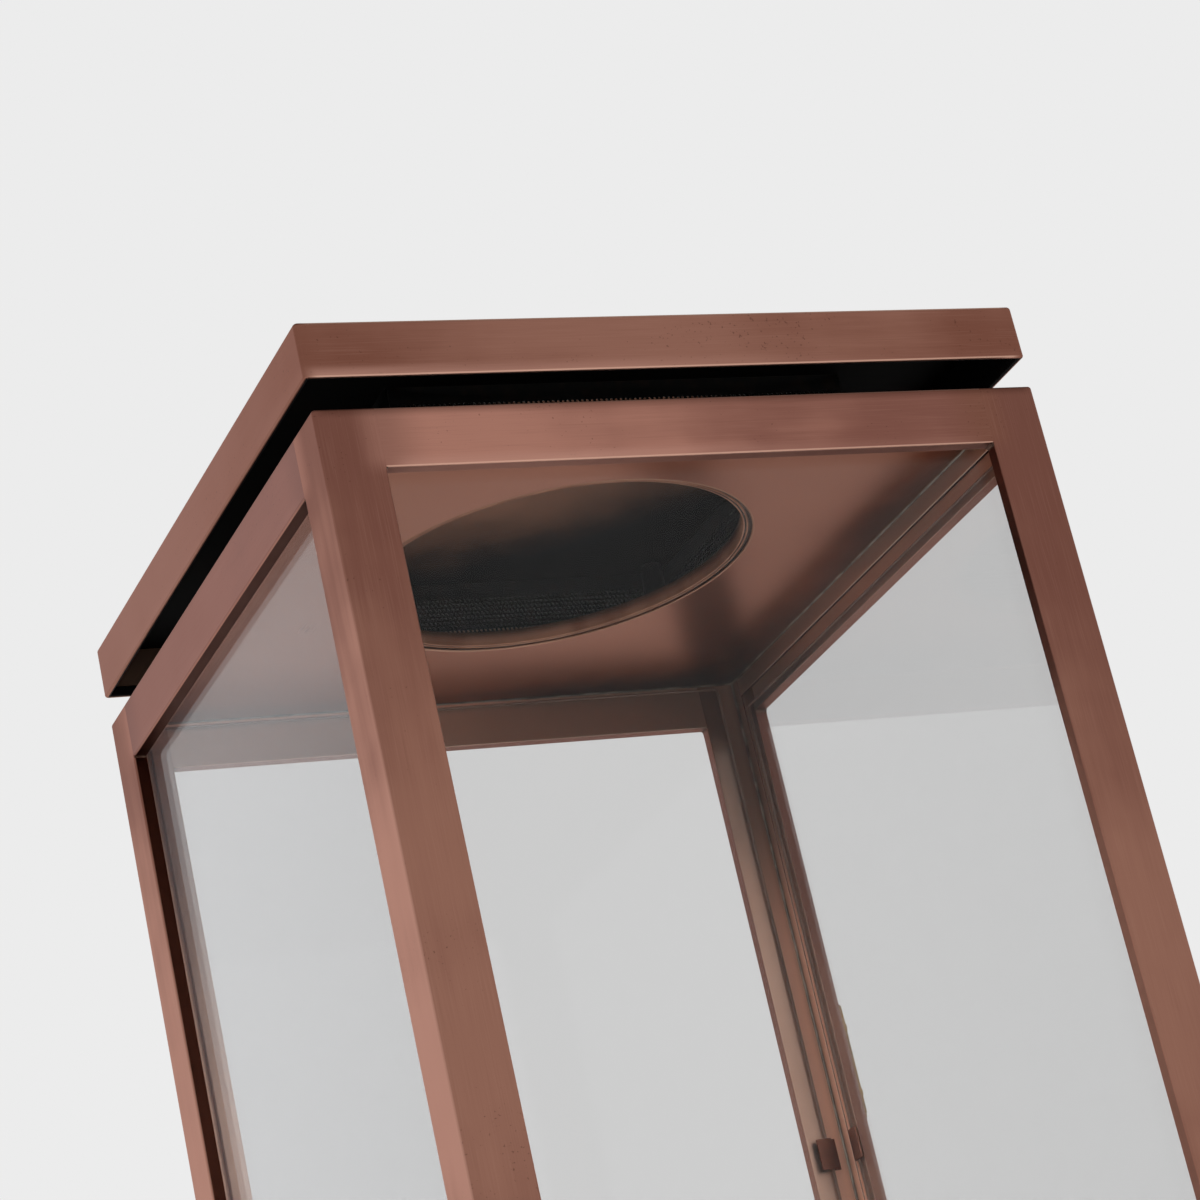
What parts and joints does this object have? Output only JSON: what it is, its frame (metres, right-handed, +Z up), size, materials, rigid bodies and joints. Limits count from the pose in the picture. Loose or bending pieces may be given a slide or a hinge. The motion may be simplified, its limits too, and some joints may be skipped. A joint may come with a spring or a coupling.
{
  "type": "gas lamp post",
  "caption": "Square glazed copper gas lantern with a flat vented lid, hinged glass door and open-flame burner, on a square post with a bolted base plate.",
  "frame": {"origin": "on the ground under the centre of the post, at the middle of the anchor holes", "axes": "+Z up along the post, -Y out of the lantern's front, +X out of its door side"},
  "size_m": [0.321, 0.306, 2.141],
  "materials": {
    "aged_copper": "brushed, darkened copper",
    "clear_glass": "clear flat glass",
    "perforated_steel": "black, matt",
    "brass": "turned, dulled",
    "copper_pipe": "drawn tube",
    "burner_ceramic": "unglazed steatite",
    "bronze_paint": "satin dark bronze paint",
    "steel_screws": "plain"
  },
  "bodies": {
    "lamp": {"base_plate": "bronze_paint", "post_tube": "bronze_paint", "post_fitter": "bronze_paint", "fitter_set_screws": "steel_screws", "floor_plate": "aged_copper", "floor_screws": "steel_screws", "corner_post_front_left": "aged_copper", "corner_post_rear_left": "aged_copper", "corner_post_front_right": "aged_copper", "corner_post_rear_right": "aged_copper", "top_rail_front": "aged_copper", "top_rail_left": "aged_copper", "top_rail_rear": "aged_copper", "door_header": "aged_copper", "bottom_rail_front": "aged_copper", "bottom_rail_left": "aged_copper", "bottom_rail_rear": "aged_copper", "door_sill": "aged_copper", "glass_pane_front": "clear_glass", "glass_pane_left": "clear_glass", "glass_pane_rear": "clear_glass", "glass_clips_front": "aged_copper", "glass_clips_left": "aged_copper", "glass_clips_rear": "aged_copper", "ceiling_plate": "aged_copper", "flue_ring": "aged_copper", "vent_screen_front": "perforated_steel", "vent_screen_left": "perforated_steel", "vent_screen_rear": "perforated_steel", "vent_screen_right": "perforated_steel", "lid_pillars": "brass", "lid_pan": "aged_copper", "lid_screws": "brass", "gas_inlet_coupling": "copper_pipe", "gas_riser_pipe": "copper_pipe", "riser_lock_nuts": "brass", "gas_cock_body": "brass", "flame_valve_body": "brass", "burner_tube": "copper_pipe", "burner_holder": "brass", "burner_tip": "burner_ceramic", "hinge_frame_leaves": "brass", "hinge_pins": "brass", "hinge_frame_screws": "brass"},
    "door": {"door_hinge_stile": "aged_copper", "door_latch_stile": "aged_copper", "door_top_rail": "aged_copper", "door_bottom_rail": "aged_copper", "door_glass_pane": "clear_glass", "door_glass_clips": "aged_copper", "hinge_door_leaves": "brass", "hinge_door_screws": "brass"},
    "latch": {"latch_thumb_turn": "brass", "latch_tongue": "brass", "latch_nut": "brass"},
    "gas_cock": {"gas_cock_plug": "brass", "gas_cock_lever": "brass"},
    "flame_screw": {"flame_adjust_knob": "brass"}
  },
  "joints": [
    {"name": "door_hinge", "type": "hinge", "parent": "lamp", "child": "door", "pos_m": [0.15585, 0.1403, 1.8487], "axis": [0, 0, 1], "range_deg": [0, 110]},
    {"name": "latch_turn", "type": "hinge", "parent": "door", "child": "latch", "pos_m": [0.1525, -0.136, 1.7067], "axis": [1, 0, 0], "range_deg": [0, 90]},
    {"name": "gas_cock_turn", "type": "hinge", "parent": "lamp", "child": "gas_cock", "pos_m": [0.0143, 0, 1.6327], "axis": [1, 0, 0], "range_deg": [0, 90]},
    {"name": "flame_screw_turn", "type": "hinge", "parent": "lamp", "child": "flame_screw", "pos_m": [0.0183, 0, 1.6616], "axis": [1, 0, 0], "range_deg": [0, 270]}
  ]
}
